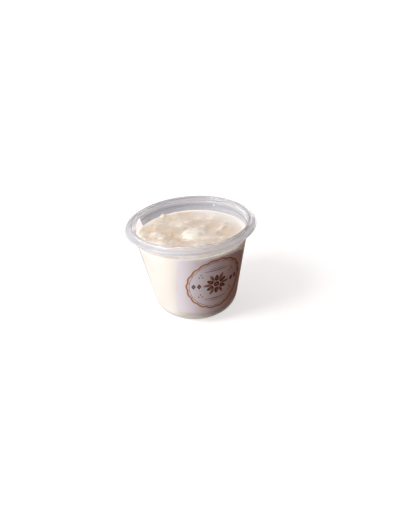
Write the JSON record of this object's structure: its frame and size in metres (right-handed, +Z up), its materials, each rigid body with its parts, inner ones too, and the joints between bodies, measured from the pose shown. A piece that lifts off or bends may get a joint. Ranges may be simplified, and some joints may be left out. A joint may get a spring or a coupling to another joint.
{
  "type": "rice pudding",
  "caption": "Tapered clear plastic dessert tub with a rolled lip, filled with creamy rice pudding whose uneven top has a soft mound where the last of it fell; a curved paper sticker covers part of the wall.",
  "frame": {"origin": "centre of the tub's foot, on the surface that it stands on", "axes": "+Z up along the tub's axis; -Y is the tub's front, and the sticker's middle lies 24 degrees from it towards +X"},
  "size_m": [0.101, 0.101, 0.0765],
  "materials": {
    "clear_plastic": "clear moulded polypropylene, glossy and slightly milky",
    "pudding": "moist cooked milk and rice, satin, soft lumps",
    "sticker_paper": "coated sticker paper with a soft sheen"
  },
  "bodies": {
    "root": {"tub": "clear_plastic", "rice_pudding": "pudding", "label": "sticker_paper"}
  },
  "joints": []
}
